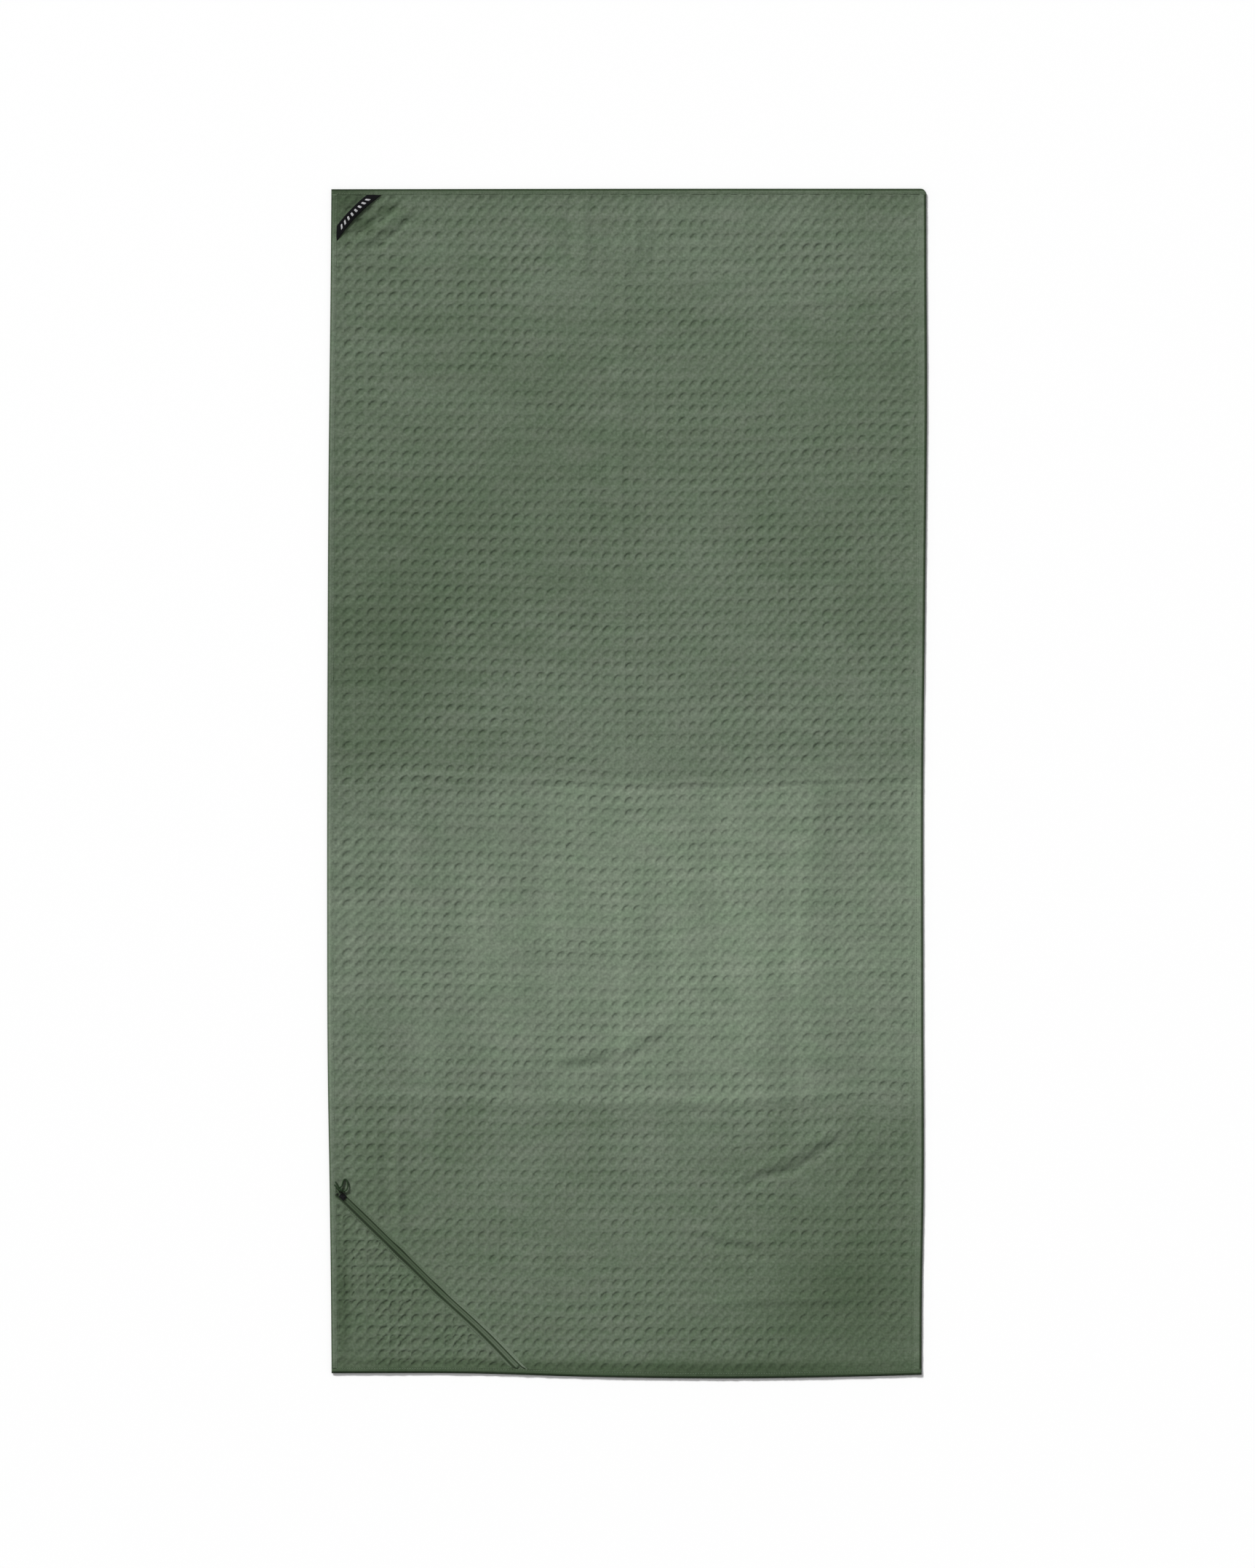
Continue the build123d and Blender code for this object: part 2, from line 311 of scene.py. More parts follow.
def write_mesh(name, points, faces, facts=None):
    """A smooth-shaded mesh from points in millimetres, with any facts kept at each point."""
    mesh = bpy.data.meshes.new(name)
    mesh.from_pydata((np.asarray(points) * MM).tolist(), [], faces)
    mesh.polygons.foreach_set("use_smooth", [True] * len(mesh.polygons))
    for fact, values in (facts or {}).items():
        mesh.attributes.new(fact, "FLOAT", "POINT").data.foreach_set("value", values)
    mesh.update()
    return mesh


def tube_faces(stations, ring, first=0):
    """Faces of a closed tube: rings of points, one after another, and two end caps."""
    faces = []
    for station in range(stations - 1):
        base = first + station * ring
        for k in range(ring):
            after = (k + 1) % ring
            faces.append((base + k, base + after, base + ring + after, base + ring + k))
    faces.append(tuple(first + k for k in reversed(range(ring))))
    faces.append(tuple(first + (stations - 1) * ring + k for k in range(ring)))
    return faces


def outward(mesh):
    """Turn all faces of a closed mesh outward."""
    work = bmesh.new()
    work.from_mesh(mesh)
    bmesh.ops.recalc_face_normals(work, faces=work.faces)
    work.to_mesh(mesh)
    work.free()
    return mesh


def strip(name, along, section, place, facts=None):
    """A closed strip. section is a ring of (across, height), and place says where it all lies."""
    ring = np.array(section, float)
    stations = np.repeat(along, len(ring))
    across = np.tile(ring[:, 0], len(along))
    height = np.tile(ring[:, 1], len(along))
    x, y, z = place(stations, across, height)
    values = facts(stations, across, height) if facts else None
    mesh = write_mesh(name, np.stack((x, y, z), 1), tube_faces(len(along), len(ring)), values)
    return outward(mesh)


def steps(start, end, pitch):
    """Evenly spaced places from start to end, about one pitch apart."""
    return np.linspace(start, end, max(2, int(round(abs(end - start) / pitch)) + 1))


def dense_at_fold(places):
    """The same places, with close ones in their stead at the towel's middle, where it folds."""
    reach = 5.5
    close = np.linspace(-reach, reach, 23)
    return np.unique(np.concatenate((places[np.abs(places) > reach + 0.1], close)))


# ---------------------------------------------------------------- materials
def material(name, roughness, colour, sheen=0.0, shine=0.25):
    """A new material, with its shader and a small maker of nodes."""
    made = bpy.data.materials.new(name)
    made.use_nodes = True
    tree = made.node_tree
    shader = tree.nodes["Principled BSDF"]
    shader.inputs["Base Color"].default_value = (*colour, 1)
    shader.inputs["Roughness"].default_value = roughness
    shader.inputs["Sheen Weight"].default_value = sheen
    shader.inputs["Specular IOR Level"].default_value = shine
    shader.inputs["Sheen Roughness"].default_value = 0.5

    def node(kind, inputs=(), **settings):
        """Add a node. inputs maps a socket to a value or to another node's output."""
        new = tree.nodes.new(kind)
        for setting, value in settings.items():
            setattr(new, setting, value)
        for socket, value in dict(inputs).items():
            if isinstance(value, bpy.types.NodeSocket):
                tree.links.new(value, new.inputs[socket])
            else:
                new.inputs[socket].default_value = value
        return new

    return made, tree, shader, node


def fact(node, name):
    """The value that a mesh keeps at each point."""
    return node("ShaderNodeAttribute", attribute_name=name).outputs["Fac"]


def maths(node, operation, a, b=0.0):
    """One sum."""
    return node("ShaderNodeMath", {0: a, 1: b}, operation=operation).outputs[0]


def spread(node, value, low, high):
    """A noise value, 0 to 1, spread from low to high."""
    return node(
        "ShaderNodeMapRange",
        {"Value": value, "From Min": 0.3, "From Max": 0.7, "To Min": low, "To Max": high},
    ).outputs["Result"]


def noise(node, scale, detail=2.0, stretch=(1, 1, 1)):
    """Noise in the towel's own space. scale is lumps per metre."""
    place = node("ShaderNodeTexCoord").outputs["Object"]
    place = node("ShaderNodeMapping", {"Vector": place, "Scale": stretch}).outputs["Vector"]
    return node(
        "ShaderNodeTexNoise", {"Vector": place, "Scale": scale, "Detail": detail}
    ).outputs["Fac"]


def weave(node, pitch, turn=0.0):
    """Fine threads over and under: two crossed waves. pitch is in metres."""
    place = node("ShaderNodeTexCoord").outputs["Object"]
    place = node(
        "ShaderNodeMapping", {"Vector": place, "Rotation": (0, 0, turn)}
    ).outputs["Vector"]
    scale = 0.31416 / pitch / 2  # a wave texture repeats every 0.31416 / scale
    size = {"Vector": place, "Scale": scale, "Distortion": 0.6, "Detail": 1.0}
    warp = node("ShaderNodeTexWave", size, bands_direction="X").outputs["Fac"]
    weft = node("ShaderNodeTexWave", size, bands_direction="Y").outputs["Fac"]
    return maths(node, "MULTIPLY", warp, weft)


def bumped(tree, shader, node, height, strength, depth):
    """Fine relief in a material. depth is in metres."""
    bump = node("ShaderNodeBump", {"Height": height, "Strength": strength, "Distance": depth})
    tree.links.new(bump.outputs["Normal"], shader.inputs["Normal"])


def tinted(node, colour_a, colour_b, mix, strength):
    """Two colours mixed by a value, then made lighter, or darker and greener, by another."""
    blended = node(
        "ShaderNodeMix",
        {"Factor": mix, "A": (*colour_a, 1), "B": (*colour_b, 1)},
        data_type="RGBA",
    )
    dim = maths(node, "MINIMUM", strength, 1.0)
    bright = maths(node, "MAXIMUM", strength, 1.0)
    red = maths(node, "MULTIPLY", bright, maths(node, "POWER", dim, 1.25))
    blue = maths(node, "MULTIPLY", bright, maths(node, "POWER", dim, 1.4))
    shade = node("ShaderNodeCombineColor", {0: red, 1: strength, 2: blue}).outputs[0]
    return node(
        "ShaderNodeMix",
        {"Factor": 1.0, "A": blended.outputs["Result"], "B": shade},
        data_type="RGBA",
        blend_type="MULTIPLY",
    ).outputs["Result"]


GREEN = (0.119, 0.160, 0.108)
GREY_GREEN = (0.133, 0.164, 0.120)


def cloth_material(name, shade, weave_pitch, pile):
    """Microfibre cloth: mottled sage, with the painted shade that its mesh carries in its dimples
    and along its edges.
    """
    made, tree, shader, node = material(name, 0.92, GREEN, sheen=0.12)
    patches = spread(node, noise(node, 26, 3.0, (0.7, 1.6, 1)), 0.0, 1.0)
    flecks = spread(node, noise(node, 300, 5.0), 1 - pile, 1 + pile)
    rows = spread(node, noise(node, 9, 2.0, (0.35, 3.5, 1)), 0.95, 1.05)
    # The mesh's tone fact also carries painted light and shade: in the dimples, at the hems' folds,
    # by the zip and across old folds.
    tone = maths(node, "MULTIPLY", fact(node, "tone"), flecks)
    tone = maths(node, "MULTIPLY", tone, rows)
    tone = maths(node, "MULTIPLY", tone, shade)
    colour = tinted(node, GREEN, GREY_GREEN, patches, tone)
    tree.links.new(colour, shader.inputs["Base Color"])
    fuzz = noise(node, 1500, 3.0)
    threads = weave(node, weave_pitch)
    height = maths(node, "ADD", fuzz, maths(node, "MULTIPLY", threads, 0.5))
    bumped(tree, shader, node, height, 0.55, 0.0004)
    return made


def woven_material(name, colour, other, pitch, turn, roughness, depth, shine=0.25):
    """A smooth woven tape, lining or thread."""
    made, tree, shader, node = material(name, roughness, colour, shine=shine)
    wear = spread(node, noise(node, 90, 4.0), 0.88, 1.12)
    threads = weave(node, pitch, turn)
    tree.links.new(tinted(node, colour, other, threads, wear), shader.inputs["Base Color"])
    bumped(tree, shader, node, threads, 0.7, depth)
    return made


def enamel_material(name, colour):
    """Enamel on zinc, worn to a dull grey where it rubs."""
    made, tree, shader, node = material(name, 0.32, colour)
    rubbed = node(
        "ShaderNodeMapRange",
        {"Value": noise(node, 1400, 5.0), "From Min": 0.66, "From Max": 0.86},
    ).outputs["Result"]
    tree.links.new(
        tinted(node, colour, (0.10, 0.10, 0.10), rubbed, 1.0),
        shader.inputs["Base Color"],
    )
    shine = maths(node, "ADD", maths(node, "MULTIPLY", noise(node, 500, 3.0), 0.3), 0.18)
    tree.links.new(shine, shader.inputs["Roughness"])
    bumped(tree, shader, node, noise(node, 2600, 3.0), 0.25, 0.0001)
    shader.inputs["Metallic"].default_value = 0.35
    return made


waffle_cloth = cloth_material("waffle_cloth", 1.0, 0.0011, 0.18)
pocket_cloth = cloth_material("pocket_cloth", 0.95, 0.0011, 0.18)
hem_cloth = cloth_material("hem_cloth", 0.98, 0.0010, 0.15)
lip_cloth = cloth_material("rolled_edge_cloth", 0.96, 0.0009, 0.05)
lining_cloth = woven_material(
    "lining", (0.11, 0.145, 0.10), (0.085, 0.115, 0.078), 0.0007, 0.0, 0.85, 0.0002
)
tape_cloth = cloth_material("zip_tape", 0.84, 0.0006, 0.05)
coil_nylon = woven_material(
    "zip_coil", (0.10, 0.145, 0.09), (0.115, 0.16, 0.105), 0.0008, 0.4, 0.42, 0.00005
)
cord_braid = woven_material(
    "cord_braid", (0.012, 0.026, 0.010), (0.040, 0.070, 0.034), 0.0007, 0.75, 0.75, 0.0003, 0.12
)
loop_black = woven_material(
    "loop_tape", (0.003, 0.003, 0.0035), (0.010, 0.010, 0.012), 0.0007, 0.80, 0.8, 0.0002, 0.06
)
loop_thread = woven_material(
    "loop_marks", (0.42, 0.42, 0.43), (0.30, 0.30, 0.31), 0.0005, 0.80, 0.8, 0.0001
)
sewing_thread = woven_material(
    "thread", (0.118, 0.155, 0.106), (0.14, 0.18, 0.127), 0.0004, 0.6, 0.7, 0.0001
)
black_enamel = enamel_material("black_enamel", (0.010, 0.010, 0.011))
green_enamel = enamel_material("green_enamel", (0.060, 0.090, 0.052))


def dress(piece, *looks):
    """Give a piece its materials in place of any that it has."""
    piece.data.materials.clear()
    for look in looks:
        piece.data.materials.append(look)
    return piece


# ---------------------------------------------------------------- the pull cord
cord_route = [
    (-0.3944, -0.5418, 0.0052),
    (-0.3902, -0.5474, 0.0059),
    (-0.3849, -0.5504, 0.0064),
    (-0.3793, -0.5506, 0.0060),
    (-0.3762, -0.5458, 0.0054),
    (-0.3766, -0.5386, 0.0043),
    (-0.3788, -0.5346, 0.0039),
    (-0.3819, -0.5349, 0.0039),
    (-0.3834, -0.5394, 0.0049),
    (-0.3842, -0.5440, 0.0058),
    (-0.3880, -0.5462, 0.0061),
    (-0.3913, -0.5418, 0.0059),
    (-0.3929, -0.5376, 0.0056),
]
cord_diameter = 0.002


def make_cord():
    """The cord tied to the pull ring, as one smooth line through the frame's route."""
    line = bpy.data.curves.new("pull_cord_braid", "CURVE")
    line.dimensions = "3D"
    spline = line.splines.new("NURBS")
    spline.points.add(len(cord_route) - 1)
    for point, place in zip(spline.points, cord_route):
        point.co = (*place, 1)
    spline.order_u = 3
    spline.use_endpoint_u = True
    spline.resolution_u = 8
    line.bevel_depth = cord_diameter / 2
    line.bevel_resolution = 4
    line.use_fill_caps = True
    return new_object("pull_cord_braid", line)


def make_knot():
    """The wrapped turns of the cord round the ring."""
    low, high = box_mm("pull_knot")
    middle = (low + high) / 2
    slope = math.radians(11)  # as the pull ring lies
    thick = cord_diameter / 2 / MM
    wraps = 2.79
    half_width, depth, height = 2.1, 1.5, 0.68
    stations, ring = 78, 10
    turn = np.linspace(0, 2 * math.pi * wraps, stations)
    line = np.stack(
        (
            np.linspace(-half_width, half_width, stations),
            depth * np.cos(turn),
            height * np.sin(turn),
        ),
        1,
    )
    ahead = np.gradient(line, axis=0)
    ahead /= np.linalg.norm(ahead, axis=1)[:, None]
    side = np.tile((1.0, 0, 0), (stations, 1))
    side -= ahead * (side * ahead).sum(1)[:, None]
    side /= np.linalg.norm(side, axis=1)[:, None]
    up = np.cross(ahead, side)
    around = np.linspace(0, 2 * math.pi, ring, endpoint=False)
    station = np.arange(stations)
    slim = thick * smooth_step(0, 4, np.minimum(station, stations - 1 - station) + 2)
    points = line[:, None] + slim[:, None, None] * (
        side[:, None] * np.cos(around)[None, :, None] + up[:, None] * np.sin(around)[None, :, None]
    )
    points = points.reshape(-1, 3)
    tilted = points.copy()
    tilted[:, 1] = points[:, 1] * math.cos(slope) - points[:, 2] * math.sin(slope)
    tilted[:, 2] = points[:, 1] * math.sin(slope) + points[:, 2] * math.cos(slope)
    mesh = write_mesh("pull_cord_knot", tilted + middle, tube_faces(stations, ring))
    return new_object("pull_cord_knot", outward(mesh))


pull_cord = make_cord()
dress(pull_cord, cord_braid)
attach(pull_cord, "puller")
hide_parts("pull_cord")

pull_knot = dress(make_knot(), cord_braid)
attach(pull_knot, "puller")
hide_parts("pull_knot")


# ---------------------------------------------------------------- cloth
# Creases and wrinkles that the towel keeps from being folded: both ends, half width and height.
# A height below zero is a furrow.
creases = (
    ((-7, 770), (-8, 300), 9, 0.60),
    ((-24, 770), (-26, 260), 7, -0.34),
    ((-8, 320), (-5, -60), 9, 0.45),
    ((-4, -120), (0, -420), 6, 0.47),
    ((-380, -424), (20, -427), 5, 0.61),
    ((0, -425), (330, -424), 6, 0.60),
    ((30, -438), (330, -436), 7, -0.34),
    ((-385, 2), (-60, 6), 5, 0.68),
    ((-60, 6), (380, 3), 4, 0.68),
    ((157, -537), (222, -519), 7, -1.22),
    ((215, -521), (290, -480), 7, -1.22),
    ((165, -524), (285, -468), 9, 1.22),
    ((-22, -367), (67, -316), 9, 0.62),
    ((-12, -378), (70, -330), 8, -0.52),
    ((-98, -372), (-10, -352), 8, 0.94),
    ((-95, -386), (-20, -370), 7, -0.81),
    ((86, -602), (194, -622), 8, 0.94),
    ((90, -614), (190, -634), 7, -0.68),
    ((-80, 785), (-78, 700), 6, -0.81),
    ((-60, 788), (-58, 690), 6, 0.94),
    ((12, 788), (10, 716), 6, 0.94),
    ((38, 786), (36, 690), 6, -0.81),
    ((-322, -470), (-320, -640), 7, -1.05),
    ((-308, -480), (-306, -650), 7, 1.05),
    ((-372, 736), (-306, 779), 5, -1.20),
    ((-366, 724), (-292, 772), 6, 1.00),
    ((-350, 716), (-280, 764), 5, -0.70),
    ((-385, 770), (-358, 786), 6, -0.81),
    ((200, 90), (260, 60), 9, 0.81),
    ((240, 20), (300, -20), 8, 0.81),
    ((280, 60), (330, 10), 8, -0.81),
    ((240, -80), (236, -300), 9, 0.54),
    ((-150, -640), (-40, -700), 9, 0.68),
    ((60, -700), (330, -690), 8, 0.68),
    ((-370, 60), (-320, 22), 8, 0.81),
    ((-380, -40), (-290, -70), 8, -0.68),
    ((280, -560), (340, -480), 8, 0.81),
    ((130, 640), (380, 660), 8, 0.47),
    ((100, 430), (390, 436), 7, -0.47),
)

# Broad light and dark parts: partly the cloth's own tone, partly painted light and shade (the light
# lower middle, shade by the loop's puckers, strips beside creases, bands inside the hems): middle,
# reach across, reach along and strength
tone_and_shade_patches = (
    (135, -195, 560, 290, 0.315),
    (250, 70, 130, 110, 0.05),
    (-345, 120, 110, 120, -0.16),
    (-330, 200, 150, 110, -0.10),
    (-250, 370, 260, 130, -0.09),
    (150, 740, 330, 90, 0.11),
    (-388, 775, 48, 44, -0.34),
    (-384, -700, 10, 80, -0.25),
    (-352, 750, 16, 10, -0.25),
    (-320, 771, 20, 9, -0.25),
    (310, -700, 170, 120, -0.25),
    (-370, -690, 120, 150, -0.10),
    (-360, -540, 120, 90, -0.08),
    (380, -480, 120, 120, -0.10),
    (330, 120, 60, 300, -0.03),
    (-100, 790, 400, 12, -0.10),
    (0, -788, 420, 11, -0.42),
    (-2, -245, 11, 180, 0.075),
    (-34, -230, 14, 180, -0.05),
    (28, -200, 13, 150, -0.035),
    (229, -200, 13, 210, 0.07),
    (196, -150, 11, 140, -0.035),
    (157, -320, 12, 100, 0.055),
    (110, -275, 24, 10, -0.09),
    (41, -347, 20, 13, -0.10),
    (-63, -366, 30, 10, -0.09),
    (268, -45, 13, 45, -0.08),
)

# Parts between old folds, which catch the light differently: left, right, bottom, top, strength
panels = (
    (-430, 430, -430, 2, 0.065),
    (-110, 252, -430, 2, 0.07),
    (-430, 430, 2, 75, -0.04),
    (-430, 430, -560, -430, -0.02),
)
# Crumpled patches: middle, reach and height
crumples = (
    (-10, -340, 75, 0.55),
    (150, -300, 50, 0.40),
    (20, 690, 90, 0.30),
    (-10, 500, 60, 0.30),
    (-20, 60, 70, 0.30),
    (-315, -560, 45, 0.55),
    (320, -560, 60, 0.30),
)
crease_gain = 1.25  # all creases are this much higher than the list says


def crease_lift(x, y):
    """How high the creases and the slow waves lift the cloth."""
    lift = 0.22 * soft_noise(x, y, 95, 5) + 0.16 * soft_noise(x, y, 41, 6)
    wander_x, wander_y = 3.0 * soft_noise(x, y, 47, 7), 3.0 * soft_noise(x, y, 47, 8)
    for start, end, half_width, height in creases:
        line = np.array(end, float) - start
        along, across = line_place(x - start[0] + wander_x, y - start[1] + wander_y, line)
        taper = smooth_step(-0.12, 0.2, along) * smooth_step(1.12, 0.8, along)
        lift = lift + crease_gain * height * taper * ridge(across, half_width)
    folds = 0.6 * soft_noise(x, y, 16, 15) + 0.5 * soft_noise(x + y, x - y, 13, 16)
    for middle_x, middle_y, reach, height in crumples:
        near = ((x - middle_x) ** 2 + (y - middle_y) ** 2) / reach**2
        lift = lift + height * folds * np.exp(-near)
    return lift


def tone_and_shade_of(x, y):
    """How light the cloth is at each point, around 1: its own mottled tone, with painted light and
    shade from the patches and panels.
    """
    tone = 0.85 + 0.035 * soft_noise(x, y, 110, 9) + 0.035 * soft_noise(x, y * 1.6, 45, 10)
    for *place_and_reach, strength in tone_and_shade_patches:
        tone = tone + strength * blob(x, y, *place_and_reach)
    streaks = 0.06 * soft_noise(x, y * 0.18, 34, 18) * smooth_step(60, -40, y)
    tone = tone + streaks * smooth_step(-620, -420, y)
    wander = 5 * soft_noise(x, y, 60, 17)
    for x_low, x_high, y_low, y_high, strength in panels:
        inside_x = smooth_step(-8, 8, np.minimum(x - x_low, x_high - x) + wander)
        inside_y = smooth_step(-5, 5, np.minimum(y - y_low, y_high - y) + wander)
        tone = tone + strength * inside_x * inside_y
    return tone


def waffle(x, y, pitch_x, pitch_y, seed):
    """How deep each point lies in the scoops of the weave, from 0 on the ridges to about 1.

    Each scoop is an oval lying on the slant, with a steep wall at its upper left. Its floor rises
    to the lower right.
    """
    column = x / pitch_x
    row = y / pitch_y
    i, j = np.round(column).astype(int), np.round(row).astype(int)
    count = 128  # more cells than the towel has, either way
    lot = np.random.default_rng(seed).uniform(-1, 1, (3, count, count))
    shift_x, shift_y, strength = lot[:, j % count, i % count]
    u = column - i + 0.03 * shift_x
    v = row - j + 0.03 * shift_y
    run = u * math.cos(scoop_lean) + v * math.sin(scoop_lean)
    rise = v * math.cos(scoop_lean) - u * math.sin(scoop_lean)
    rim = np.hypot(run / scoop_long, rise / scoop_short)
    wall = smooth_step(1.16, 0.60, rim)
    floor = np.clip(0.62 + 0.85 * v - 0.60 * u, 0.1, 1)
    return floor * wall * (0.95 + 0.3 * strength)


def flatness(x, y):
    """1 in the light lower middle of the towel, where the weave lies flatter, and 0 far from it."""
    return blob(x, y, 60, -200, 250, 230)


def relief_strength(x, y):
    """The weave shows strongly in some patches and rows, and hardly at all in others."""
    patches = soft_noise(x * 0.6, y * 1.4, 52, 21) + 0.6 * soft_noise(x * 0.25, y, 17, 22)
    left_side = 0.25 * blob(x, y, -330, 230, 160, 330)
    return np.clip(0.92 + 0.42 * patches + left_side - 0.12 * flatness(x, y), 0.25, 1.35)


def field_inset(x, y):
    """How far a point is inside the hems' inner edges."""
    across = np.minimum(x - field_left, field_right - x)
    return np.minimum(across, np.minimum(y - field_bottom, field_top - y))


def loop_end_nearness(x, y):
    """1 where the hanging loop's two ends are sewn down, 0 far from them."""
    chord = loop_high_end - loop_low_end
    along, across = line_place(x - loop_low_end[0], y - loop_low_end[1], chord)
    ends = ridge(along, 0.16) + ridge(along - 1, 0.16)
    return np.clip(ends, 0, 1) * ridge(across, 9)


def diagonal(x, y):
    """The slanting lines of the weave, from -1 to 1."""
    return np.cos(2 * math.pi * (x / cell_x - y / cell_y))


def into_hem(face, inset):
    """Raise the cloth beside the hems to their height, and press it flat under them."""
    face = np.minimum(face + 0.45 * smooth_step(16, 3, inset), highest)
    hem_side = smooth_step(-1.1, 0.3, inset)
    return pressed * (1 - hem_side) + face * hem_side


lip_rise = 0.75  # the cloth rises over the tape beside the zip
loop_pinch = 1.1  # the loop's ends draw the cloth down
deepest_furrow = -1.3
lowest_face = 0.55
lowest_pocket_face = 1.1  # clear of the lining
thinnest = 0.5  # cloth between its face and its reverse


def main_height(x, y, is_face):
    """Height of the main cloth, and how deep each point lies in a dimple."""
    along, across = zip_place(x, y)
    inset = field_inset(x, y)
    calm = smooth_step(0.5, 5, inset) * smooth_step(cut_gap, cut_gap + 4, across)
    lift = crease_lift(x, y) * smooth_step(0, 12, inset) * smooth_step(8, 24, across)
    lift = lift + lip_rise * smooth_step(15, 8, across)
    pit = waffle(x, y, cell_x, cell_y, weave_seed) * relief_strength(x, y) * calm
    crest = waffle(x + cell_x / 2, y + cell_y / 2, cell_x, cell_y, 12) * calm
    slant = -0.125 * diagonal(x, y) * calm
    slant = slant * (0.8 + 0.6 * soft_noise(x, y, 70, 42)) * (1 - 0.5 * flatness(x, y))
    grain = 0.13 * soft_noise(x, y, 2.6, 41) + 0.10 * soft_noise(x, y, 4.4, 43) + slant
    lift = np.maximum(lift, deepest_furrow)
    sunk = loop_pinch * loop_end_nearness(x, y)
    face = cloth + 0.1 + lift + grain - dimple_depth * pit - sunk * calm
    face = into_hem(np.maximum(face, lowest_face), inset)
    reverse = np.maximum(lift, 0) * 0.85 + reverse_depth * crest
    reverse = np.where(across < 15, np.maximum(reverse, pocket_reverse), reverse)
    reverse = np.minimum(reverse, face - thinnest)
    return np.where(is_face, face, np.maximum(reverse, 0)), np.clip(pit, 0, 1)


def pocket_height_at(x, y, is_face):
    """Height of the pocket's front. Its weave is finer in patches. Its rumples follow the zip."""
    along, across = zip_place(x, y)
    inset = field_inset(x, y)
    calm = smooth_step(0.5, 5, inset) * smooth_step(-cut_gap, -cut_gap - 4, across)
    broad = 0.45 * soft_noise(along, across, 36, 51) + 0.24 * soft_noise(along, across, 8, 58)
    broad = broad + 0.36 * soft_noise(along * 0.45, across, 12, 52)
    fine = waffle(x, y, 10.5, 11.5, 54) * smooth_step(-0.6, 0.3, soft_noise(x, y, 45, 59))
    level = waffle(x, y, cell_x, cell_y, 55) * smooth_step(-0.5, 0.4, soft_noise(x, y, 60, 56))
    pit = np.maximum(1.5 * fine, 1.6 * level) * calm
    slant = -0.14 * diagonal(x, y) * calm
    grain = 0.14 * soft_noise(x, y, 2.4, 57) + 0.16 * soft_noise(x, y, 5.0, 53) + slant
    edge_rise = 0.7 * smooth_step(-14, -8, across)
    face = cloth + 0.05 + broad * calm + grain + edge_rise - dimple_depth * pit
    face = into_hem(np.maximum(face, lowest_pocket_face), inset)
    return np.where(is_face, face, pocket_reverse), np.clip(pit, 0, 1)


def lining_height_at(x, y, is_face):
    """Height of the pocket's thin lining, with slow ripples."""
    ripple = 0.05 * soft_noise(x, y, 22, 61)
    return np.where(is_face, 0.5 + ripple, 0.06 + ripple), 0 * x


def grid_faces(columns, rows):
    """The quads of a grid of points."""
    corner = np.arange(columns * rows).reshape(rows, columns)
    quads = (corner[:-1, :-1], corner[:-1, 1:], corner[1:, 1:], corner[1:, :-1])
    return np.stack([quad.ravel() for quad in quads], 1)


def flat_sheet(x_lines, y_lines):
    """A closed flat sheet from Z = 0 to 1. Its reverse has every other line of its face."""
    points, faces = [], []
    grids = []
    for level, every in ((1, 1), (0, 2)):
        xs, ys = x_lines[::every], y_lines[::every]
        first = sum(len(p) for p in points)
        grid_x, grid_y = np.meshgrid(xs, ys)
        flat = np.stack((grid_x.ravel(), grid_y.ravel(), np.full(grid_x.size, level)), 1)
        points.append(flat)
        quads = grid_faces(len(xs), len(ys)) + first
        faces += (quads if level else quads[:, ::-1]).tolist()
        grids.append(np.arange(grid_x.size).reshape(len(ys), len(xs)) + first)
    face, back = grids
    edges = (
        (face[0], back[0]),
        (face[:, -1], back[:, -1]),
        (face[-1, ::-1], back[-1, ::-1]),
        (face[::-1, 0], back[::-1, 0]),
    )
    for upper, lower in edges:
        for k in range(len(lower) - 1):
            wall = (lower[k], lower[k + 1], upper[2 * k + 2], upper[2 * k + 1], upper[2 * k])
            faces.append([int(corner) for corner in wall])
    return np.concatenate(points), faces


def odd(lines):
    """The lines, with one more between the last two where their number is even."""
    if len(lines) % 2:
        return lines
    return np.insert(lines, -1, (lines[-1] + lines[-2]) / 2)


def cut_sheet(mesh, keep_above, across):
    """Cut a flat sheet along the zip, at a distance across it, and close the cut."""
    work = bmesh.new()
    work.from_mesh(mesh)
    point = (zip_start + zip_across * across) * MM
    side = 1 if keep_above else -1
    found = bmesh.ops.bisect_plane(
        work,
        geom=work.verts[:] + work.edges[:] + work.faces[:],
        dist=1e-7,
        plane_co=(*point, 0),
        plane_no=(side * zip_across[0], side * zip_across[1], 0),
        clear_inner=True,
    )
    rim = [item for item in found["geom_cut"] if isinstance(item, bmesh.types.BMEdge)]
    filled = bmesh.ops.holes_fill(work, edges=rim, sides=0)
    bmesh.ops.triangulate(work, faces=filled["faces"])
    work.to_mesh(mesh)
    work.free()


def shaped_normals(points, is_face, height_at):
    """Each point's own normal, from the height round it, so that bands of cloth meet unseen.

    Under a hem it is the normal of the cloth just inside, so that no dark line runs along the hem.
    """
    reach = 0.6
    flip = np.where(is_face, 1.0, -1.0)
    x = np.clip(points[:, 0], field_left + 1, field_right - 1)
    y = np.clip(points[:, 1], field_bottom + 1, field_top - 1)
    slope_x = height_at(x + reach, y, is_face)[0] - height_at(x - reach, y, is_face)[0]
    slope_y = height_at(x, y + reach, is_face)[0] - height_at(x, y - reach, is_face)[0]
    normal = np.stack((-slope_x, -slope_y, np.full(len(x), 2 * reach)), 1)
    normal /= np.linalg.norm(normal, axis=1)[:, None]
    return normal * flip[:, None]


